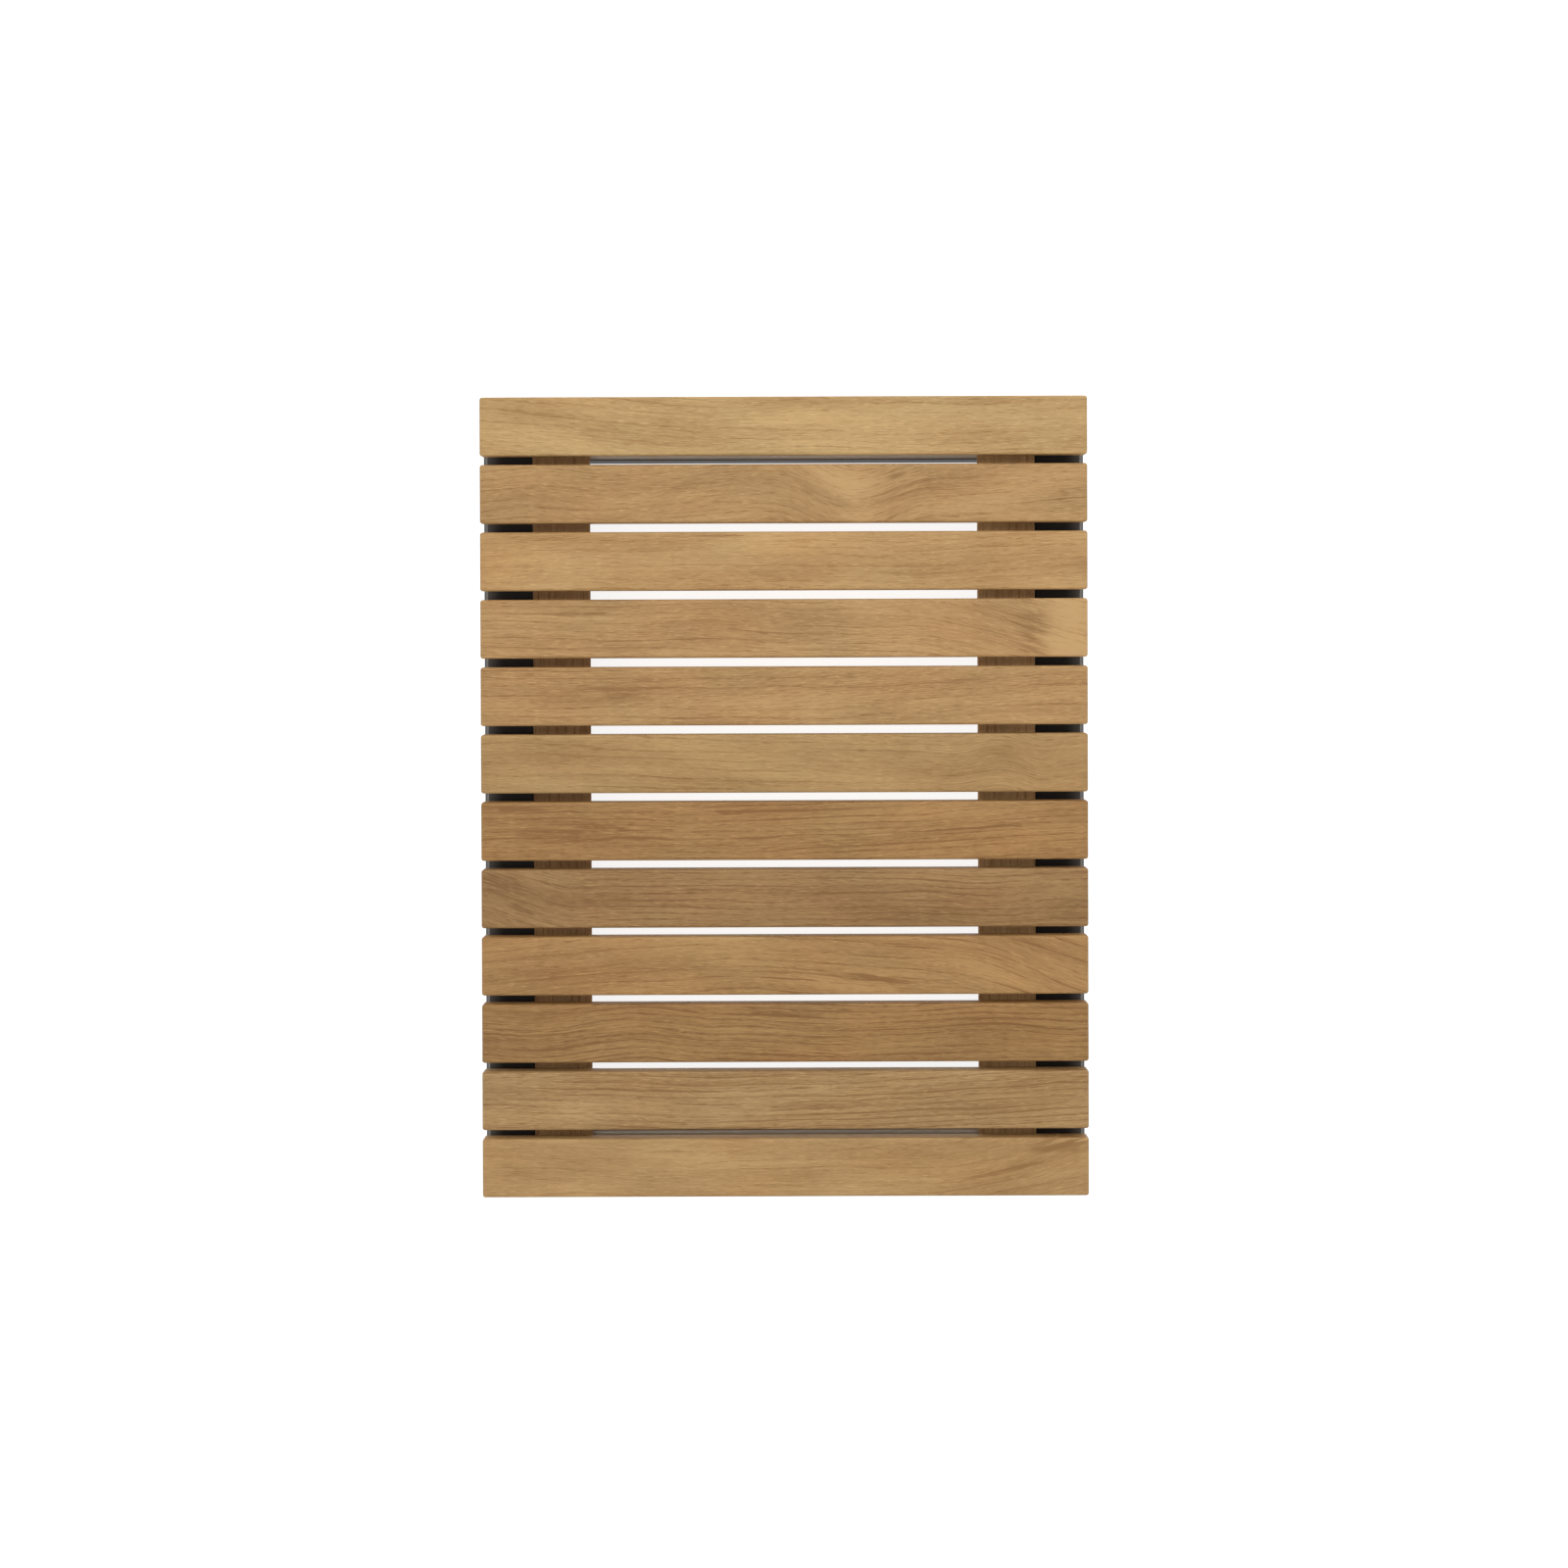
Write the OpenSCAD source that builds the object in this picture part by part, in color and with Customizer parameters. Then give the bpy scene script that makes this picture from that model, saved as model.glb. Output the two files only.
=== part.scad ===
// Slatted bath mat: teak slats on two flat battens, which lie on a low frame of rectangular steel tube.
// The mat stands on its feet at z = 0, centred on x and y. The slats run along x and lie side by
// side along y, with the back at +y.

/* [Mat] */
// Length over all the slats, front to back
mat_l = 600; // [590:5:660]
// Width, which is the length of one slat
mat_w = 455; // [400:5:600]

/* [Slats] */
// Number of slats
slat_count = 12; // [10:1:12]
// Width of one slat
slat_w = 44; // [38:0.5:46]
// Thickness of one slat
slat_t = 15; // [14:0.5:20]
// Radius on the edges and corners of a slat
slat_edge_r = 2; // [1:0.5:3]

/* [Battens] */
// Width of one batten
batten_w = 43; // [40:1:50]
// Thickness of one batten
batten_t = 8; // [8:0.5:12]
// Radius on the long edges of a batten
batten_edge_r = 1; // [0.5:0.5:2]
// Distance from the ends of the slats to the outer edge of a batten
batten_inset = 38; // [34:0.5:40]
// Distance from the front and back of the mat to the ends of a batten
batten_end_inset = 4; // [3:0.5:5]

/* [Frame] */
// Width of the frame tube, seen from above
tube_w = 46; // [44:0.5:47]
// Height of the frame tube
tube_h = 35; // [25:1:45]
// Wall thickness of the frame tube
tube_wall = 1.5; // [1.5:0.5:2.5]
// Outside corner radius of the frame tube
tube_corner_r = 3; // [3:0.5:4]
// Radius of the frame's four upright corners, ground round over the welds
frame_corner_r = 2; // [0.5:0.5:2.5]
// How far the slats reach past the frame on all four sides
frame_inset = 0; // [0:0.5:1]

/* [Feet] */
// Height of a rubber foot
foot_h = 5; // [5:0.5:12]
// Diameter of a rubber foot at the floor
foot_d = 24; // [20:1:28]
// Distance from the end of the frame to the middle of a foot
foot_inset = 42; // [40:1:60]

/* [Screws] */
// Shank diameter of every screw
screw_d = 4; // [3.5:0.5:4.5]
// Head diameter of every screw
head_d = 8; // [7:0.5:8.5]
// Length of a slat screw under its head
slat_screw_l = 16; // [13:1:16]
// Length of a frame screw under its head
frame_screw_l = 20; // [16:1:20]
// Length of a foot screw under its head
foot_screw_l = 10; // [8:1:14]
// Distance between the two screws that join a slat to a batten
slat_screw_spacing = 20; // [16:1:22]
// Distance between the two screws that join a batten to a cross tube
frame_screw_spacing = 24; // [20:1:28]

/* [Hidden] */
$fn = 48;

// Heights of the layers
frame_z = foot_h;
batten_z = frame_z + tube_h;
slat_z = batten_z + batten_t;

// Slats
gap = (mat_l - slat_count * slat_w) / (slat_count - 1);
pitch = slat_w + gap;

// Frame and battens
frame_l = mat_l - 2 * frame_inset;
frame_w = mat_w - 2 * frame_inset;
side_tube_x = (frame_w - tube_w) / 2;
cross_tube_y = (frame_l - tube_w) / 2;
batten_l = mat_l - 2 * batten_end_inset;
batten_x = (mat_w - batten_w) / 2 - batten_inset;
mitre_reach = 1;

// Screws and their holes
hole_play = 0.1;
pilot_r = (screw_d + hole_play) / 2;
clearance_r = screw_d / 2 + 0.25;
counterbore_r = head_d / 2 + 0.5;
counterbore_h = 3.5;
access_r = head_d / 2 + 1.5;
head_h = 2.5;
head_rim_h = 0.9;
screw_point_h = 3;
pilot_spare = 0.5;
recess_l = 4;
recess_w = 0.9;
recess_h = 1.3;

// Heights of the screws' seats, where the heads bear
slat_seat_z = batten_z + counterbore_h;
frame_seat_z = batten_z - tube_wall;
foot_seat_z = 3.2;

// Feet
foot_x = side_tube_x;
foot_y = frame_l / 2 - foot_inset;
foot_bevel = 1;
foot_bore_r = head_d / 2 + 0.8;

slat_numbers = [1 : slat_count];

LEFT = -1;
RIGHT = 1;
FRONT = -1;
BACK = 1;

function slat_name(n) = str("slat_", n < 10 ? "0" : "", n);

// Slat 1 lies at the back, and the last slat at the front
function slat_y(n) = mat_l / 2 - slat_w / 2 - (n - 1) * pitch;

// Places of the screws of one batten: a row of slat screws, and two frame screws over each cross tube
slat_screw_y = [
    for (n = slat_numbers) for (row = [FRONT, BACK]) slat_y(n) + row * slat_screw_spacing / 2
];
function frame_screw_places(side, end) = [
    for (k = [-1, 1]) [side * batten_x + k * frame_screw_spacing / 2, end * cross_tube_y]
];

// Rectangle with round corners, centred on its own middle
module rounded_rectangle(w, h, r) {
    square([w, h - 2 * r], center = true);
    square([w - 2 * r, h], center = true);
    for (x = [-1, 1], y = [-1, 1]) translate([x * (w / 2 - r), y * (h / 2 - r)]) circle(r);
}

// Board along x with all of its edges and corners eased, centred on x and y, with its base at z = 0
module eased_board(l, w, t, r) {
    translate([0, 0, t / 2]) intersection() {
        rotate([90, 0, 90]) linear_extrude(l + 2, center = true) rounded_rectangle(w, t, r);
        rotate([90, 0, 0]) linear_extrude(w + 2, center = true) rounded_rectangle(l, t, r);
        linear_extrude(t + 2, center = true) rounded_rectangle(l, w, r);
    }
}

// Screw with a domed head and a cross recess, head down, bearing at z = 0 and pointing up
module screw(l) {
    difference() {
        rotate_extrude() polygon([
            [0, -head_h],
            [head_d / 4, -head_h],
            [head_d / 2.3, -head_h / 2],
            [head_d / 2, -head_rim_h],
            [head_d / 2, 0],
            [screw_d / 2, 0],
            [screw_d / 2, l - screw_point_h],
            [0.4, l],
            [0, l]
        ]);
        for (turn = [0, 90]) rotate(turn) translate([0, 0, -head_h])
            cube([recess_l, recess_w, 2 * recess_h], center = true);
    }
}

// Upright hole from z0 to z1
module hole(r, z0, z1) {
    translate([0, 0, z0]) cylinder(h = z1 - z0, r = r);
}

// Blind hole in the underside of a slat for a screw of length screw_l, whose head bears at seat_z
module pilot_hole(seat_z, screw_l) {
    hole(pilot_r, slat_z - 1, seat_z + screw_l + pilot_spare);
}

// One slat with the blind holes for its own screws
module slat(n) {
    is_end = n == 1 || n == slat_count;
    color("#b08a5c") difference() {
        translate([0, slat_y(n), slat_z]) eased_board(mat_w, slat_w, slat_t, slat_edge_r);
        for (side = [LEFT, RIGHT], row = [FRONT, BACK])
            translate([side * batten_x, slat_y(n) + row * slat_screw_spacing / 2])
                pilot_hole(slat_seat_z, slat_screw_l);
        if (is_end) for (side = [LEFT, RIGHT], place = frame_screw_places(side, sign(slat_y(n))))
            translate([place.x, place.y]) pilot_hole(frame_seat_z, frame_screw_l);
    }
}

// One batten under all the slats, bored for the frame screws and counterbored for the slat screws
module batten(side) {
    color("#8f6a45") difference() {
        translate([side * batten_x, 0, batten_z + batten_t / 2]) rotate([90, 0, 0])
            linear_extrude(batten_l, center = true)
                rounded_rectangle(batten_w, batten_t, batten_edge_r);
        for (y = slat_screw_y) translate([side * batten_x, y]) {
            hole(clearance_r, batten_z, slat_z + 1);
            hole(counterbore_r, batten_z - 1, slat_seat_z);
        }
        for (end = [FRONT, BACK], place = frame_screw_places(side, end))
            translate([place.x, place.y]) hole(clearance_r, batten_z - 1, slat_z + 1);
    }
}

// Section of the frame tube, w wide and h high outside
module tube_section() {
    difference() {
        rounded_rectangle(tube_w, tube_h, tube_corner_r);
        rounded_rectangle(tube_w - 2 * tube_wall, tube_h - 2 * tube_wall, tube_corner_r - tube_wall);
    }
}

// Tube along y with both ends mitred, its outer face at x = reach_x and its corners at +-reach_y
module mitred_tube(reach_x, reach_y) {
    outer = mitre_reach;
    inner = tube_w + mitre_reach;
    intersection() {
        translate([0, 0, frame_z - 1]) linear_extrude(tube_h + 2)
            rounded_rectangle(2 * reach_x, 2 * reach_y, frame_corner_r);
        translate([reach_x - tube_w / 2, 0, frame_z + tube_h / 2]) rotate([90, 0, 0])
            linear_extrude(2 * reach_y + 2, center = true) tube_section();
        translate([0, 0, frame_z - 1]) linear_extrude(tube_h + 2) polygon([
            [reach_x + outer, -reach_y - outer],
            [reach_x + outer, reach_y + outer],
            [reach_x - inner, reach_y - inner],
            [reach_x - inner, -reach_y + inner]
        ]);
    }
}

// Hole through the top wall of a tube for a frame screw, with an access hole under it
module frame_screw_hole() {
    hole(clearance_r, frame_seat_z - 1, batten_z + 1);
    hole(access_r, frame_z - 1, frame_z + tube_wall + 1);
}

// Side tube under the ends of the slats, with the holes for two feet
module side_tube(side) {
    color("#2a2b2d") difference() {
        mirror([side == LEFT ? 1 : 0, 0, 0]) mitred_tube(frame_w / 2, frame_l / 2);
        for (end = [FRONT, BACK]) translate([side * foot_x, end * foot_y])
            hole(pilot_r, frame_z - 1, frame_z + tube_wall + 1);
    }
}

// Cross tube under the first or the last slat, with the holes for its frame screws
module cross_tube(end) {
    color("#2a2b2d") difference() {
        rotate(end * 90) mitred_tube(frame_l / 2, frame_w / 2);
        for (side = [LEFT, RIGHT], place = frame_screw_places(side, end))
            translate([place.x, place.y]) frame_screw_hole();
    }
}

// Rubber foot under a side tube, with its screw's head sunk in it
module foot(side, end) {
    r = foot_d / 2;
    color("#1c1c1c") translate([side * foot_x, end * foot_y]) rotate_extrude() polygon([
        [foot_bore_r, 0],
        [r - foot_bevel, 0],
        [r, foot_bevel],
        [r - foot_bevel, foot_h],
        [pilot_r, foot_h],
        [pilot_r, foot_seat_z],
        [foot_bore_r, foot_seat_z]
    ]);
}

// Screws that hold the slats to the battens
module slat_screws() {
    color("#b9bcc0") for (side = [LEFT, RIGHT], y = slat_screw_y)
        translate([side * batten_x, y, slat_seat_z]) screw(slat_screw_l);
}

// Screws that hold the battens to the frame, driven on into the first and the last slat
module frame_screws() {
    color("#b9bcc0") for (side = [LEFT, RIGHT], end = [FRONT, BACK], place = frame_screw_places(side, end))
        translate([place.x, place.y, frame_seat_z]) screw(frame_screw_l);
}

// Screws that hold the feet to the frame
module foot_screws() {
    color("#b9bcc0") for (side = [LEFT, RIGHT], end = [FRONT, BACK])
        translate([side * foot_x, end * foot_y, foot_seat_z]) screw(foot_screw_l);
}

for (n = slat_numbers) slat(n);
batten(LEFT);  // batten_left
batten(RIGHT);  // batten_right
side_tube(LEFT);  // side_tube_left
side_tube(RIGHT);  // side_tube_right
cross_tube(FRONT);  // cross_tube_front
cross_tube(BACK);  // cross_tube_back
foot(LEFT, FRONT);  // foot_front_left
foot(RIGHT, FRONT);  // foot_front_right
foot(LEFT, BACK);  // foot_back_left
foot(RIGHT, BACK);  // foot_back_right
slat_screws();
frame_screws();
foot_screws();
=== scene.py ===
"""Looks of the slatted bath mat: teak slats and battens, a painted frame, rubber feet and screws.

Everything is in metres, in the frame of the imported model. Values whose names end in _mm or _MM, and
all the values of the wood's grain, are in millimetres.
"""

import itertools
import math

import bpy
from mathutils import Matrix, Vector, noise


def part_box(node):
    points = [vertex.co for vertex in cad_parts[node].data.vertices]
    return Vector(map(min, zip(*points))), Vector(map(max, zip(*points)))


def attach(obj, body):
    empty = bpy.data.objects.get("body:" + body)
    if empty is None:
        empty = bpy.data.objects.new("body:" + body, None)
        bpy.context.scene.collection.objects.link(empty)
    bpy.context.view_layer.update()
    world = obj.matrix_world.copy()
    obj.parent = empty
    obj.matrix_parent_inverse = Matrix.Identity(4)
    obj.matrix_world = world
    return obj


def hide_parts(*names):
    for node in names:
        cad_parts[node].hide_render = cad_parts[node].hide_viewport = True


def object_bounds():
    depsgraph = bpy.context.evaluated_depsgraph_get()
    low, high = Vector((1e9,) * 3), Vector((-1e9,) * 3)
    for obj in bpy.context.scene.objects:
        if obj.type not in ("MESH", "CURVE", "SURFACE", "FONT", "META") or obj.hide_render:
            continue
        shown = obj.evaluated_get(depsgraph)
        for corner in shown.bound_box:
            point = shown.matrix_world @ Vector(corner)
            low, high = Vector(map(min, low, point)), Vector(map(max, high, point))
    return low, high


MM = 0.001

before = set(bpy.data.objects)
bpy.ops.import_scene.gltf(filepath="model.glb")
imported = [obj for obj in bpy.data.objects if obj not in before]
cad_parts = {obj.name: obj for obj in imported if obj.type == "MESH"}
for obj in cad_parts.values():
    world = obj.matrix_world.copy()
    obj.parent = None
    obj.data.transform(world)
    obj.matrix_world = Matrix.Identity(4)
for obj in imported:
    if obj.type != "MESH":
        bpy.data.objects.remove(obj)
cad_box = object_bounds()

TOP_Z = cad_box[1].z
SLAT_NODES = sorted(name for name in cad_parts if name.startswith("slat_") and name != "slat_screws")


# ---------------------------------------------------------------- camera, light and floor

CAMERA_HEIGHT = 1.65  # from the standing surface
VIEW_WIDTH = 1.1735  # of the view at the standing surface
VIEW_MIDDLE_Y = 0.0099  # the middle of the view, behind the middle of the mat
CAMERA_SHIFT_Y = -0.088  # the camera stands behind the middle of its view
CAMERA_TILT = math.radians(-0.45)
CAMERA_ROLL = math.radians(-0.2)


def add_camera():
    """Camera that looks straight down on the mat, but for a slight tilt and roll."""
    data = bpy.data.cameras.new("camera")
    data.sensor_width = 36.0
    data.lens = data.sensor_width * CAMERA_HEIGHT / VIEW_WIDTH
    camera = bpy.data.objects.new("camera", data)
    data.shift_y = CAMERA_SHIFT_Y
    aim_y = VIEW_MIDDLE_Y - CAMERA_SHIFT_Y * VIEW_WIDTH
    camera.location = (0, aim_y - CAMERA_HEIGHT * math.tan(CAMERA_TILT), TOP_Z + CAMERA_HEIGHT)
    camera.rotation_euler = (CAMERA_TILT, 0, CAMERA_ROLL)
    bpy.context.scene.collection.objects.link(camera)
    bpy.context.scene.camera = camera


def add_softbox(name, location, size, power):
    """Square area light that points at the middle of the mat."""
    data = bpy.data.lights.new(name, "AREA")
    data.size = size
    data.energy = power
    light = bpy.data.objects.new(name, data)
    light.location = location
    light.rotation_euler = (Vector((0, 0, TOP_Z)) - light.location).to_track_quat("-Z", "Y").to_euler()
    bpy.context.scene.collection.objects.link(light)


def add_studio():
    """High-key studio: white walls, a dimmer ceiling and two softboxes."""
    sky = Graph(bpy.data.worlds.new("studio"), "Background")
    height = sky.split(sky.coordinates("Generated"))[2]
    sky.set("Color", (1, 1, 1, 1))
    sky.set("Strength", sky.step(height, 0.0, 0.6, 1.0, 0.45))
    bpy.context.scene.world = sky.owner
    bpy.context.scene.view_settings.view_transform = "Standard"
    add_softbox("key_light", (0.5, 1.5, 2.6), 1.4, 45)
    add_softbox("fill_light", (-1.2, -0.6, 2.6), 1.8, 15)


def add_floor():
    """White floor that glows as if it were lit from below."""
    half = 4.0
    floor = bpy.data.objects.new("floor", bpy.data.meshes.new("floor"))
    floor.data.from_pydata(
        [(-half, -half, 0), (half, -half, 0), (half, half, 0), (-half, half, 0)], [], [(0, 1, 2, 3)]
    )
    graph = Graph(bpy.data.materials.new("floor_white"))
    graph.set("Base Color", (0.45, 0.45, 0.46, 1))
    graph.set("Roughness", 0.9)
    graph.set("Emission Color", (0.96, 0.985, 1, 1))
    graph.set("Emission Strength", 0.85)
    floor.data.materials.append(graph.owner)
    bpy.context.scene.collection.objects.link(floor)


# ---------------------------------------------------------------- building materials


class Graph:
    """The nodes of a material or a world, with short calls that add them and link them."""

    def __init__(self, owner, shader="Principled BSDF"):
        self.owner = owner
        self.owner.use_nodes = True
        self.tree = self.owner.node_tree
        self.shader = self.tree.nodes[shader]

    def set(self, socket, value):
        """Sets or links one socket of the shader."""
        self.feed(self.shader.inputs[socket], value)

    def feed(self, socket, value):
        if isinstance(value, bpy.types.NodeSocket):
            self.tree.links.new(value, socket)
        else:
            socket.default_value = value

    def node(self, kind, **settings):
        node = self.tree.nodes.new(kind)
        for key, value in settings.items():
            setattr(node, key, value)
        return node

    def math(self, operation, a, b=0.0):
        node = self.node("ShaderNodeMath", operation=operation)
        self.feed(node.inputs[0], a)
        self.feed(node.inputs[1], b)
        return node.outputs[0]

    def add(self, first, *others):
        for other in others:
            first = self.math("ADD", first, other)
        return first

    def times(self, a, b):
        return self.math("MULTIPLY", a, b)

    def coordinates(self, output):
        """The surface's own position or normal, in the frame of the object."""
        return self.node("ShaderNodeTexCoord").outputs[output]

    def split(self, vector):
        node = self.node("ShaderNodeSeparateXYZ")
        self.feed(node.inputs[0], vector)
        return node.outputs

    def join(self, x, y, z):
        node = self.node("ShaderNodeCombineXYZ")
        for socket, value in zip(node.inputs, (x, y, z)):
            self.feed(socket, value)
        return node.outputs[0]

    def scaled(self, vector, scale, shift=(0, 0, 0)):
        """vector times scale, and then plus shift."""
        node = self.node("ShaderNodeMapping")
        self.feed(node.inputs["Vector"], vector)
        node.inputs["Scale"].default_value = scale
        node.inputs["Location"].default_value = shift
        return node.outputs[0]

    def noise(self, vector, scale=1.0, detail=2.0, roughness=0.5):
        """Smooth noise from 0 to 1, mostly near 0.5."""
        node = self.node("ShaderNodeTexNoise")
        self.feed(node.inputs["Vector"], vector)
        node.inputs["Scale"].default_value = scale
        node.inputs["Detail"].default_value = detail
        node.inputs["Roughness"].default_value = roughness
        return node.outputs[0]

    def wave(self, vector, scale, shift, low, high, detail=2.0, roughness=0.5):
        """Noise stretched by scale, spread from low to high about its middle."""
        value = self.noise(self.scaled(vector, scale, shift), 1.0, detail, roughness)
        return self.step(value, 0.3, 0.7, low, high, "LINEAR")

    def step(self, value, start, end, low=0.0, high=1.0, shape="SMOOTHSTEP"):
        """Goes from low at start to high at end, and stays there."""
        node = self.node("ShaderNodeMapRange", interpolation_type=shape)
        self.feed(node.inputs["Value"], value)
        for name, number in (("From Min", start), ("From Max", end), ("To Min", low), ("To Max", high)):
            node.inputs[name].default_value = number
        return node.outputs[0]

    def spot(self, vector, centre, size):
        """1 at centre, falling smoothly to 0 at size away along each axis. A size of 0 ignores its axis."""
        scale = [1 / s if s else 0 for s in size]
        node = self.node("ShaderNodeTexGradient", gradient_type="SPHERICAL")
        self.feed(node.inputs[0], self.scaled(vector, scale, [-c * s for c, s in zip(centre, scale)]))
        return self.step(node.outputs[1], 0, 1)

    def mix(self, factor, a, b, blend="MIX"):
        node = self.node("ShaderNodeMix", data_type="RGBA", blend_type=blend)
        self.feed(node.inputs["Factor"], factor)
        self.feed(node.inputs[6], a)
        self.feed(node.inputs[7], b)
        return node.outputs[2]

    def bump(self, height, depth, strength=1.0):
        """Links a bump of the given depth, in metres, to the shader."""
        node = self.node("ShaderNodeBump")
        node.inputs["Strength"].default_value = strength
        node.inputs["Distance"].default_value = depth
        self.feed(node.inputs["Height"], height)
        self.set("Normal", node.outputs[0])


def tinted(colour, factors):
    """A colour times one factor per channel, with its alpha."""
    return (*(c * f for c, f in zip(colour, factors)), 1)


def linear(red, green, blue):
    """Linear colour of an 8-bit display colour."""
    return tuple(((c / 255 + 0.055) / 1.055) ** 2.4 for c in (red, green, blue))


# ---------------------------------------------------------------- teak


class Grain:
    """How one board was cut and how it looks. Lengths are in mm, from the middle of the board.

    tone        display colour of the board's middle shade
    pith        where the middle of the log lies, across the board and up from it
    dive        how much the pith rises for each mm along the board
    ring        mean width of a growth ring
    bends       places where the grain swings aside: (x, reach along x, rise towards the back)
    patches     lighter or darker clouds: (x, y, reach along x, reach along y, change of shade)
    ring_shade  strength of the bands and of the dark line that ends each ring
    fineness    strength of the streaks, threads and pores
    """

    def __init__(self, tone, pith, dive, ring, bends=(), patches=(), ring_shade=1.0, fineness=1.0):
        self.tone = tone
        self.pith = pith
        self.dive = dive
        self.ring = ring
        self.bends = bends
        self.patches = patches
        self.ring_shade = ring_shade
        self.fineness = fineness


def board_space(graph, centre, turned):
    """Place in mm from the middle of a board, and the surface's normal, with x along the board.

    A turned board lies along the row's y axis.
    """
    place = graph.scaled(graph.coordinates("Object"), [1 / MM] * 3, [-c / MM for c in centre])
    facing = graph.coordinates("Normal")
    if turned:
        x, y, z = graph.split(place)[:3]
        place = graph.join(y, x, z)
        facing_x, facing_y, facing_z = graph.split(facing)[:3]
        facing = graph.join(facing_y, facing_x, facing_z)
    return place, facing


def along_fibres(graph, place, bends, seed):
    """Place with y measured from the fibre, which swings at the bends and wanders a little everywhere."""
    x, y, z = graph.split(place)[:3]
    aside = graph.wave(place, (0.007, 0.02, 0.02), (seed, 0, 0), -1.1, 1.1)
    for bend_x, reach, rise in bends:
        swing = graph.times(graph.spot(place, (bend_x, 0, 0), (reach, 0, 0)), -rise)
        aside = graph.add(aside, swing)
    return graph.join(x, graph.add(y, aside), z)


def growth_rings(graph, fibre, grain, seed):
    """Soft band of each ring, from -1 to 1, and the thin dark line that ends it, which fades in places."""
    x, across, z = graph.split(fibre)[:3]
    from_pith_y = graph.add(across, -grain.pith[0])
    from_pith_z = graph.add(z, -grain.pith[1], graph.times(x, -grain.dive))
    squares = graph.add(graph.times(from_pith_y, from_pith_y), graph.times(from_pith_z, from_pith_z))
    uneven = 0.35 * grain.ring
    wobble = graph.wave(fibre, (0.008, 0.07, 0.07), (0, seed, 3), -uneven, uneven)
    rings = graph.times(graph.add(graph.math("SQRT", squares), wobble), 1 / grain.ring)

    along_ring = graph.join(graph.times(x, 0.004), rings, seed)
    band = graph.wave(along_ring, (1, 1.3, 1), (0, 0, 0), -1, 1, 1)
    faded = graph.wave(fibre, (0.010, 0.10, 0.10), (seed, 9, 0), -0.1, 1.2)
    ring_end = graph.step(graph.math("FRACT", rings), 1 - RING_LINE / grain.ring, 1.0)
    return band, graph.times(ring_end, graph.math("MAXIMUM", faded, 0.0))


def fine_structure(graph, fibre, line, seed):
    """Streaks and threads of the fibre and a fuzz, from -1 to 1, and dark and pale pores, from 0 to 1."""
    streaks = graph.wave(fibre, (0.007, 1.1, 1.1), (seed, 1, 7), -1, 1, 3, 0.75)
    threads = graph.wave(fibre, (0.06, 1.6, 1.6), (2, seed, 5), -1, 1, 2, 0.6)
    fuzz = graph.wave(fibre, (0.30, 3.0, 3.0), (7, seed, 3), -1, 1, 1)
    pore_noise = graph.noise(graph.scaled(fibre, (0.10, 1.5, 1.5), (seed, 4, 1)), 1.0, 1.0, 0.6)
    pores = graph.step(graph.add(pore_noise, graph.times(line, 0.10)), 0.56, 0.70)
    gleam_noise = graph.noise(graph.scaled(fibre, (0.12, 1.5, 1.5), (6, seed, 2)), 1.0, 1.0, 0.6)
    gleams = graph.step(gleam_noise, 0.58, 0.70)
    return streaks, threads, fuzz, pores, gleams


def patch_shade(graph, fibre, patches, shade, seed):
    """shade with its patches. The light ones are smooth, and the dark ones are mottled."""
    mottles = graph.wave(fibre, (0.035, 0.32, 0.32), (seed, 6, 4), -1.2, 3.2, 3)
    for patch_x, patch_y, reach_x, reach_y, change in patches:
        cloud = graph.spot(fibre, (patch_x, patch_y, 0), (reach_x, reach_y, 0))
        if change < 0:
            cloud = graph.times(cloud, mottles)
        shade = graph.add(shade, graph.times(cloud, change))
    return shade


def oiled_ends_and_edge_shade(graph, facing, shade):
    """shade with the cut ends much darker, because end grain soaks up more oil, and with painted shade that
    makes the round edges and the sides a little darker.
    """
    facing_x, _, facing_z = graph.split(facing)[:3]
    end_grain = graph.step(graph.math("ABSOLUTE", facing_x), 0.6, 0.95)
    # Painted shade: round edges and sides, which face away from the light above, are made darker.
    painted_side_shade = graph.step(graph.math("ABSOLUTE", facing_z), 0.95, 0.3)
    return graph.add(shade, graph.times(end_grain, -0.18), graph.times(painted_side_shade, -0.06))


def wood_colour(graph, fibre, tone, shade, seed):
    """Colour of the wood at a shade. The heartwood drifts between a cooler and a redder brown."""
    oiled = [t * o for t, o in zip(linear(*tone), OIL_TINT)]
    drift = graph.wave(fibre, (0.012, 0.03, 0.03), (3, seed, 8), 0, 1, 2)
    hue = graph.mix(drift, tinted(oiled, (0.98, 1.01, 1.03)), tinted(oiled, (1.02, 0.99, 0.97)))
    return graph.mix(1.0, hue, graph.mix(shade, DARKEST, LIGHTEST), "MULTIPLY")


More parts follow.
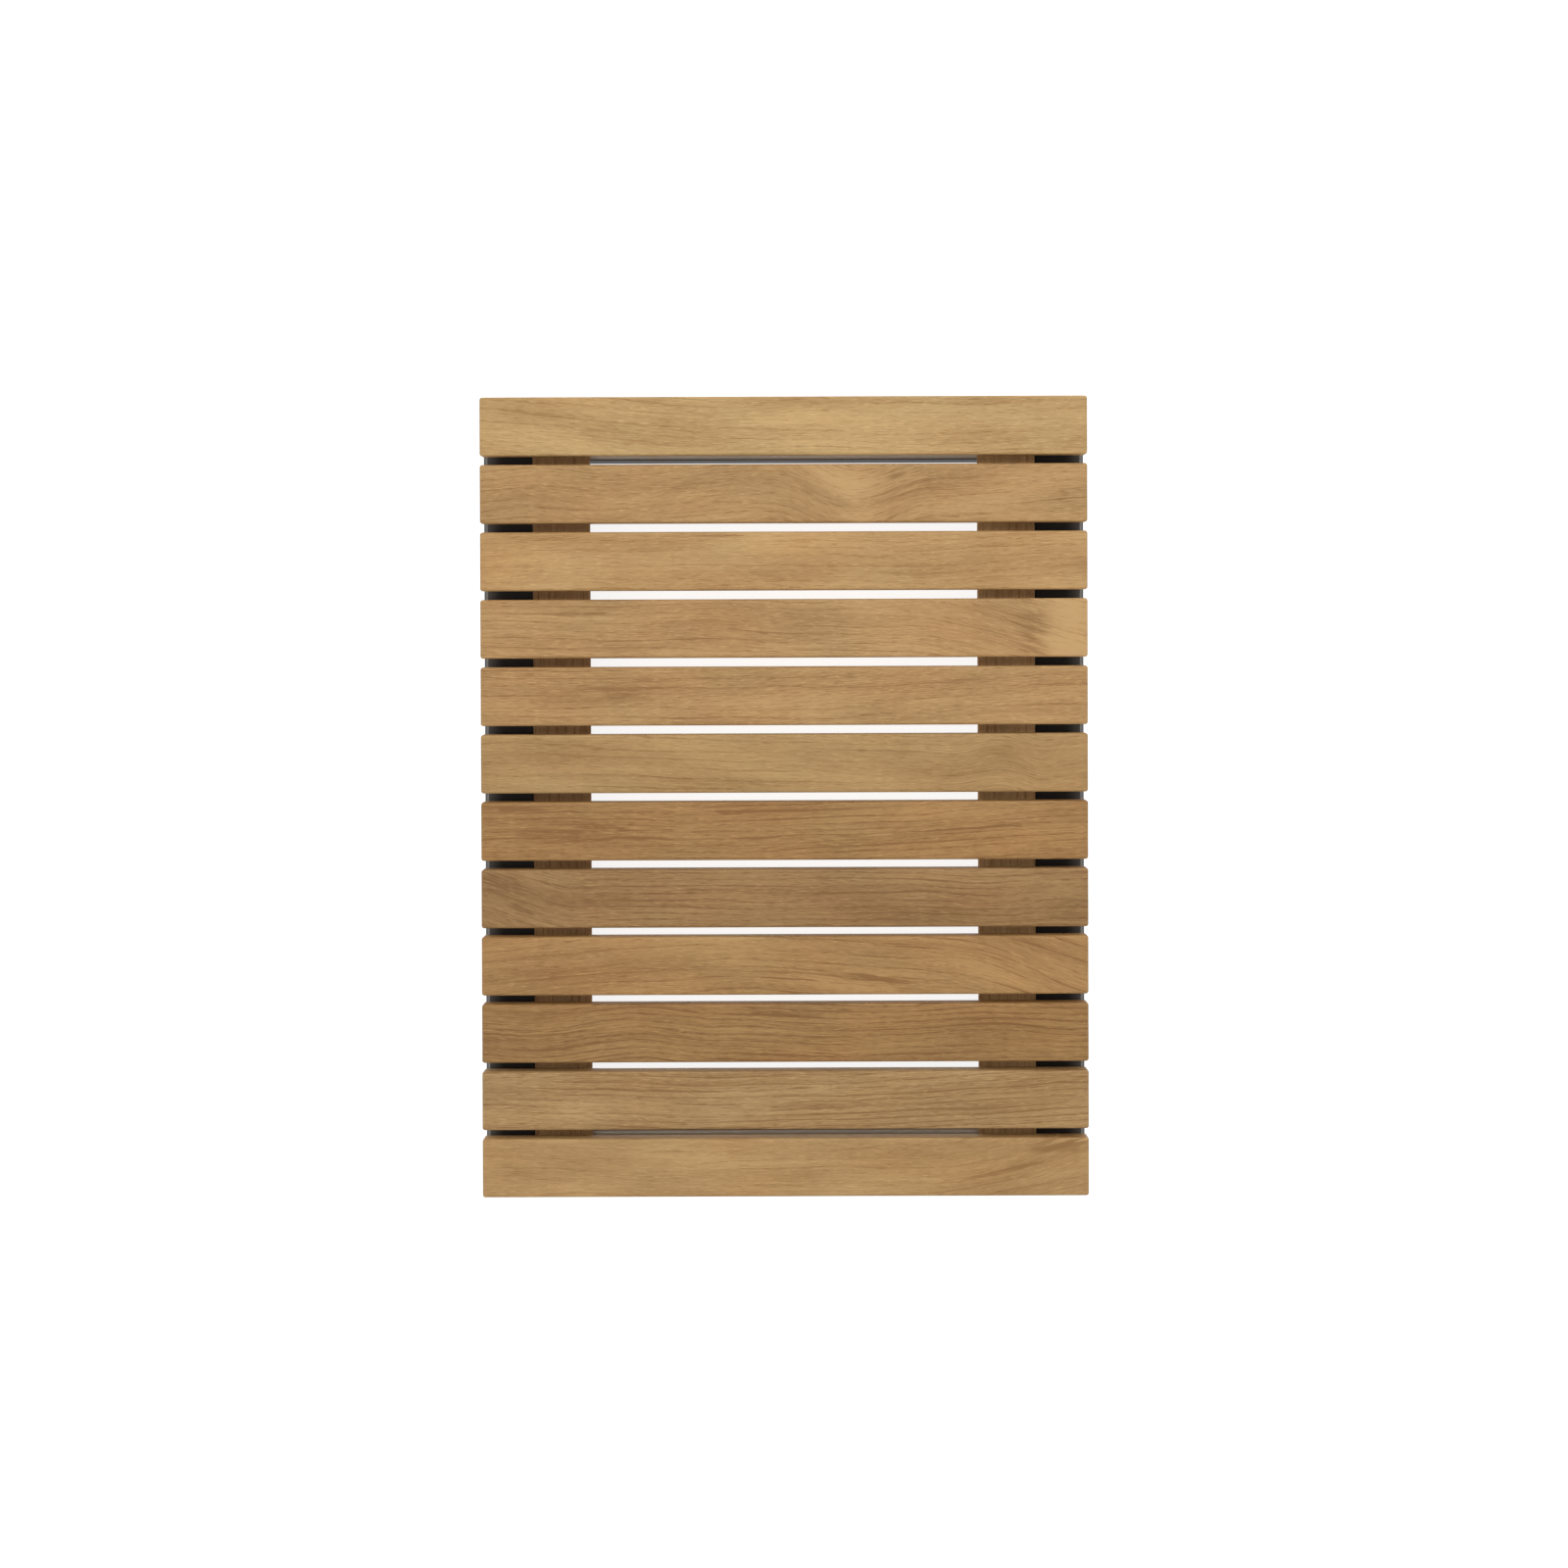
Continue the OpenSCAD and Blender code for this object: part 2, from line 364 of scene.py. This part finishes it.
def teak(name, grain, centre, seed, turned=False):
    """Oiled teak for the board whose middle is at centre. Boards of different seeds never repeat."""
    graph = Graph(bpy.data.materials.new(name))
    place, facing = board_space(graph, centre, turned)
    fibre = along_fibres(graph, place, grain.bends, seed)
    band, line = growth_rings(graph, fibre, grain, seed)
    streaks, threads, fuzz, pores, gleams = fine_structure(graph, fibre, line, seed)
    clouds = graph.wave(fibre, (0.009, 0.045, 0.045), (8, 2, seed), -1, 1, 3)

    # Shade of the wood, from 0 for dark to 1 for light
    shade = graph.add(
        0.53,
        graph.times(band, 0.13 * grain.ring_shade),
        graph.times(line, -0.75 * grain.ring_shade),
        graph.times(streaks, 0.15 * grain.fineness),
        graph.times(threads, 0.15 * grain.fineness),
        graph.times(fuzz, 0.05),
        graph.times(pores, -0.32 * grain.fineness),
        graph.times(gleams, 0.42 * grain.fineness),
        graph.times(clouds, 0.23),
    )
    shade = oiled_ends_and_edge_shade(graph, facing, patch_shade(graph, fibre, grain.patches, shade, seed))

    graph.set("Base Color", wood_colour(graph, fibre, grain.tone, shade, seed))
    graph.set("Roughness", graph.add(0.56, graph.times(pores, 0.15), graph.times(streaks, -0.05)))
    graph.set("Specular IOR Level", 0.35)
    relief = graph.add(graph.times(pores, -1.0), graph.times(line, -0.4), graph.times(threads, 0.2))
    graph.bump(relief, 0.00012, 0.6)
    return graph.owner


OIL_TINT = (0.98, 0.966, 0.863)  # what the oil takes from each channel of a board's tone
DARKEST = (0.70, 0.62, 0.52, 1)  # the darkest and the lightest shade, as factors of the tone
LIGHTEST = (1.30, 1.38, 1.48, 1)
RING_LINE = 1.5  # width of the dark line that ends a ring

SLAT_GRAINS = [
    Grain(
        (181, 147, 101), (140, -90), 0.02, 6, ring_shade=0.3, fineness=0.9,
        bends=[(-240, 190, 14), (240, 160, 3)],
        patches=[
            (-150, -6, 70, 26, -0.08), (-90, 9, 70, 1.5, -0.16), (30, 0, 60, 20, 0.06),
        ],
    ),
    Grain(
        (169, 132, 88), (-120, -110), 0.01, 5, ring_shade=0.35, fineness=1.05,
        bends=[(-25, 100, 8), (52, 60, -15), (-190, 60, 4), (228, 120, 5)],
        patches=[
            (46, 19, 38, 18, 0.52), (60, -2, 24, 20, 0.34), (104, 8, 40, 18, -0.12),
            (84, 20, 12, 5, -0.2), (-190, 6, 40, 14, 0.12), (-60, 0, 60, 24, -0.06),
        ],
    ),
    Grain(
        (179, 141, 95), (130, -80), 0.01, 5, ring_shade=0.2, fineness=0.85,
        bends=[(240, 150, 7), (-240, 90, -3)],
        patches=[
            (-30, 18, 55, 1.2, -0.40), (-120, 8, 70, 2, -0.12), (120, -10, 90, 2, -0.12),
        ],
    ),
    Grain(
        (172, 134, 90), (-130, -90), -0.01, 5, ring_shade=0.6, fineness=1,
        bends=[(275, 190, -36), (-60, 80, 2)],
        patches=[
            (240, 10, 62, 90, 0.54), (212, 10, 24, 60, 0.40), (184, 10, 16, 60, -0.20),
            (-150, 12, 45, 1.5, -0.45), (-60, 13, 30, 1.2, -0.25), (-95, -10, 26, 5, 0.20),
            (-160, -4, 50, 16, -0.12), (20, -12, 110, 8, -0.12),
        ],
    ),
    Grain(
        (171, 133, 89), (140, -90), 0.02, 6, ring_shade=0.5, fineness=1.1,
        bends=[(250, 330, 14)],
        patches=[
            (-125, 3, 45, 9, -0.26), (-105, 11, 40, 2.5, -0.34), (-90, 6, 22, 1.6, -0.4),
            (-190, 14, 50, 3, -0.2), (110, -12, 30, 3, 0.26), (30, 4, 50, 2, 0.18),
            (-30, -6, 40, 1.5, 0.2),
        ],
    ),
    Grain(
        (166, 132, 88), (-140, -90), 0.02, 6, ring_shade=0.5, fineness=0.85,
        bends=[(-240, 420, 14), (160, 36, 5), (195, 30, -3)],
        patches=[
            (160, 2, 18, 8, -0.12), (-60, 0, 160, 30, 0.05), (-95, 14, 20, 1.0, 0.4),
        ],
    ),
    Grain(
        (159, 120, 75), (120, -70), 0.00, 4, ring_shade=0.7, fineness=1.15,
        bends=[(260, 300, 12)],
        patches=[
            (-35, 15, 70, 1.5, -0.8), (-120, 2, 46, 5, -0.40), (-105, -5, 36, 3, -0.36),
            (-25, -6, 26, 1.5, -0.9), (110, -6.5, 150, 1.1, -0.6), (-200, 16, 40, 2.5, -0.4),
            (-160, -2, 80, 26, -0.14), (160, 0, 90, 30, 0.12),
        ],
    ),
    Grain(
        (150, 115, 75), (-120, -80), 0.00, 4, ring_shade=0.8, fineness=1.2,
        bends=[(-262, 110, 26), (150, 60, -2)],
        patches=[
            (-198, -17, 14, 4, -0.7), (-150, -13, 26, 1.6, -0.6), (-215, 0, 36, 20, -0.18),
            (-160, 8, 40, 1.3, -0.34), (-60, 6, 90, 1.2, -0.24), (120, 6, 50, 12, -0.12),
            (-60, 2, 50, 8, 0.10),
        ],
    ),
    Grain(
        (164, 125, 80), (90, -60), 0.00, 7, ring_shade=0.8, fineness=1.05,
        bends=[(-50, 250, 13), (265, 140, -36)],
        patches=[
            (-60, -14, 260, 0.8, -0.6), (20, -22, 160, 0.8, -0.45), (90, 9, 160, 0.8, -0.5),
            (150, 17, 90, 0.8, -0.55), (-100, 15, 150, 5, 0.16), (60, -17, 110, 5, -0.14),
        ],
    ),
    Grain(
        (151, 113, 69), (-120, -70), 0.01, 4, ring_shade=1.0, fineness=1.3,
        bends=[(-110, 60, 5), (-190, 50, -3), (60, 110, -5), (240, 100, -3)],
        patches=[
            (-40, -4, 150, 0.9, -0.4), (0, -11, 60, 1.2, -0.4), (-130, -15, 26, 1.2, -0.45),
            (-20, 16, 90, 3, -0.22), (60, -18, 40, 1.2, -0.45), (-170, 4, 60, 1.0, -0.3),
            (160, 7, 110, 0.9, -0.3), (150, 12, 90, 0.9, -0.3),
        ],
    ),
    Grain(
        (162, 128, 87), (120, -70), 0.01, 4, ring_shade=0.9, fineness=1.25,
        bends=[(240, 200, 10), (-60, 80, -2)],
        patches=[
            (-20, 9, 190, 1.0, -0.55), (-160, -8, 34, 14, 0.26), (20, -4, 90, 4, -0.18),
            (60, -10, 110, 1.0, -0.25), (150, 2, 90, 1.0, -0.3), (-70, 2, 50, 1.5, -0.2),
        ],
    ),
    Grain(
        (172, 136, 92), (-140, -100), 0.02, 7, ring_shade=0.3, fineness=0.8,
        bends=[(262, 150, 26), (-240, 120, 6)],
        patches=[
            (214, 2, 40, 16, -0.50), (170, -12, 50, 4, -0.30), (20, 4, 90, 3, 0.16),
            (-60, 12, 60, 8, -0.12), (40, -14, 90, 1.2, -0.22), (-200, -10, 40, 14, -0.12),
        ],
    ),
]
BATTEN_GRAINS = {
    "batten_left": Grain((152, 114, 72), (120, -90), 0.01, 5, ring_shade=0.8),
    "batten_right": Grain((172, 134, 90), (-120, -90), 0.01, 5, ring_shade=0.8),
}


# ---------------------------------------------------------------- boards

SLAT_EDGE_R = 2 * MM
EDGE_STEPS = 5
BOARD_STEPS_MM = (5, 1.6, 2)  # spacing of the mesh along, across and through a board


def stops(half, radius, step):
    """Places along one axis of a board from -half to half, close together where its edges are round."""
    arc = [radius * math.tan(math.pi / 4 * k / EDGE_STEPS) for k in range(EDGE_STEPS + 1)]
    flat = half - radius
    count = max(2, round(2 * flat / step))
    middle = [-flat + 2 * flat * k / count for k in range(1, count)]
    return [-flat - a for a in reversed(arc)] + middle + [flat + a for a in arc]


def wander(x, y, seed, size_mm):
    """Slow random drift from -1 to 1 over about size_mm."""
    scale = 1 / (size_mm * MM)
    return noise.noise(Vector((x * scale, y * scale, 10.0 * seed)))


def worked_point(corner, half, seed):
    """Moves a point of a sharp box onto the board as it comes from the sander.

    The edges are round, by a radius that drifts along them, and the top is dressed a hair below its
    full height. The underside stays flat, because it lies on the battens.
    """
    x, y, z = corner
    radius = SLAT_EDGE_R * (1 + 0.12 * wander(x, math.copysign(0.1, y), seed, 60))
    core = Vector(max(-h + radius, min(h - radius, c)) for c, h in zip(corner, half))
    outward = Vector(corner) - core
    point = core + outward.normalized() * radius if outward.length > 0 else core
    above = max(0.0, (z / half.z + 0.2) / 1.2)
    dressing = 0.07 + 0.05 * wander(x, y, seed + 5, 90) + 0.025 * wander(x / 12, y, seed + 9, 4)
    point.z -= above * dressing * MM
    return point


def grid_faces(last, index):
    """Quads over all six sides of a grid box, as lists of point numbers, wound to face outward."""
    faces = []
    for axis in range(3):
        u, v = (axis + 1) % 3, (axis + 2) % 3
        for side in (0, last[axis]):
            for i, j in itertools.product(range(last[u]), range(last[v])):
                ring = [(i, j), (i + 1, j), (i + 1, j + 1), (i, j + 1)]
                if side == 0:
                    ring.reverse()
                keys = []
                for a, b in ring:
                    key = [0, 0, 0]
                    key[axis], key[u], key[v] = side, a, b
                    keys.append(index[tuple(key)])
                faces.append(keys)
    return faces


def board_mesh(name, low, high, seed):
    """Closed mesh of one board between the corners low and high, all in quads."""
    centre = (low + high) / 2
    half = (high - low) / 2
    axes = [stops(h, SLAT_EDGE_R, step * MM) for h, step in zip(half, BOARD_STEPS_MM)]
    last = [len(axis) - 1 for axis in axes]
    index = {}
    points = []
    for key in itertools.product(*(range(n + 1) for n in last)):
        if any(k in (0, n) for k, n in zip(key, last)):
            index[key] = len(points)
            corner = [axis[k] for axis, k in zip(axes, key)]
            points.append(worked_point(corner, half, seed) + centre)
    mesh = bpy.data.meshes.new(name)
    mesh.from_pydata(points, [], grid_faces(last, index))
    mesh.shade_smooth()
    return mesh


def add_slats():
    """One worked board in place of each CAD slat, each from its own piece of timber."""
    for number, (node, grain) in enumerate(zip(SLAT_NODES, SLAT_GRAINS)):
        low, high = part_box(node)
        mesh = board_mesh(node + "_board", low, high, number)
        piece = bpy.data.objects.new(f"board_{number + 1:02d}", mesh)
        wood = teak(f"teak_{number + 1:02d}", grain, (low + high) / 2, 17.3 * (number + 1))
        piece.data.materials.append(wood)
        bpy.context.scene.collection.objects.link(piece)
        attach(piece, "root")
        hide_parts(node)


# ---------------------------------------------------------------- frame, feet and screws

SIDE_TUBE_INNER, SIDE_TUBE_OUTER = (corner.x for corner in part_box("side_tube_right"))
CROSS_TUBE_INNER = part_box("cross_tube_back")[0].y


def frame_highlight(graph, place, upward):
    """Where the coat is made light and metallic like bare steel, as a painted highlight, from 0 to 1.

    A little on every round edge that looks up, and most on the inner top edges of the cross
    tubes, which lie open under the first and the last gap.
    """
    across, along = (graph.math("ABSOLUTE", part) for part in graph.split(place)[:2])
    on_cross_tube = graph.step(across, SIDE_TUBE_INNER + 0.002, SIDE_TUBE_INNER - 0.002)
    under_gap = graph.step(along, CROSS_TUBE_INNER + 0.008, CROSS_TUBE_INNER + 0.003)
    gap_edge_highlight = graph.times(graph.times(on_cross_tube, under_gap), graph.step(upward, 0.6, 0.9))
    edge_curve_highlight = graph.times(graph.step(upward, 0.60, 0.90), graph.step(upward, 1.0, 0.995))
    return graph.math("MAXIMUM", graph.times(edge_curve_highlight, 0.3), gap_edge_highlight)


def frame_paint():
    """Near-black powder coat with a little dust, with a painted highlight under the end gaps and on round
    edges, and painted light on top near the slats' ends.
    """
    graph = Graph(bpy.data.materials.new("frame_coat"))
    place = graph.coordinates("Object")
    upward = graph.split(graph.coordinates("Normal"))[2]
    peel = graph.noise(place, 900, 2, 0.5)
    drift = graph.noise(place, 14, 3, 0.6)
    dust = graph.step(graph.noise(place, 60, 4, 0.7), 0.55, 0.8)
    coat = graph.mix(graph.times(dust, 0.5), (0.030, 0.026, 0.023, 1), (0.050, 0.045, 0.040, 1))

    # Painted light: the top of each side tube is made lighter in its outer 15.5 mm, as if light came in
    # from the open ends of the gaps.
    across = graph.math("ABSOLUTE", graph.split(place)[0])
    near_rim = graph.step(across, SIDE_TUBE_OUTER - 0.0155, SIDE_TUBE_OUTER)
    painted_rim_light = graph.times(near_rim, graph.step(upward, 0.9, 0.99))
    coat = graph.mix(graph.times(painted_rim_light, 0.8), coat, (0.15, 0.14, 0.13, 1))

    # Painted highlight: the round edges and the open inner top edges of the cross tubes are made light and
    # metallic.
    painted_highlight = frame_highlight(graph, place, upward)
    graph.set("Base Color", graph.mix(painted_highlight, coat, (0.66, 0.64, 0.60, 1)))
    graph.set("Metallic", painted_highlight)
    graph.set("Roughness", graph.add(0.48, graph.times(drift, 0.10), graph.times(dust, 0.10)))
    graph.set("Specular IOR Level", 0.15)
    graph.bump(peel, 0.00004, 0.5)
    return graph.owner


def moulded_rubber():
    """Matt black rubber with a fine mould texture."""
    graph = Graph(bpy.data.materials.new("foot_black"))
    place = graph.coordinates("Object")
    grit = graph.noise(place, 1600, 2, 0.6)
    bloom = graph.step(graph.noise(place, 120, 3, 0.6), 0.45, 0.75)
    graph.set("Base Color", graph.mix(bloom, (0.016, 0.016, 0.017, 1), (0.030, 0.030, 0.029, 1)))
    graph.set("Roughness", graph.add(0.72, graph.times(bloom, 0.12)))
    graph.bump(grit, 0.00005, 0.6)
    return graph.owner


def screw_steel():
    """Bright stainless steel with faint turning marks round each head."""
    graph = Graph(bpy.data.materials.new("screw_bright"))
    place = graph.coordinates("Object")
    marks = graph.noise(graph.scaled(place, (900, 900, 6000)), 1.0, 2, 0.5)
    graph.set("Metallic", 1.0)
    graph.set("Base Color", graph.mix(marks, (0.50, 0.50, 0.51, 1), (0.62, 0.62, 0.61, 1)))
    graph.set("Roughness", graph.add(0.24, graph.times(marks, 0.16)))
    graph.bump(marks, 0.00002, 0.4)
    return graph.owner


def finish_cad_nodes():
    """Gives each CAD node that stays its own finish."""
    paint, rubber, steel = frame_paint(), moulded_rubber(), screw_steel()
    for number, (name, piece) in enumerate(sorted(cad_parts.items())):
        if name in BATTEN_GRAINS:
            low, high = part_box(name)
            material = teak(name, BATTEN_GRAINS[name], (low + high) / 2, 31.7 + number, turned=True)
        elif "tube" in name:
            material = paint
        elif name.startswith("foot_") and name != "foot_screws":
            material = rubber
        elif name.endswith("_screws"):
            material = steel
        else:
            continue
        piece.data.materials[0] = material


add_camera()
add_studio()
add_floor()
add_slats()
finish_cad_nodes()

bpy.context.view_layer.update()
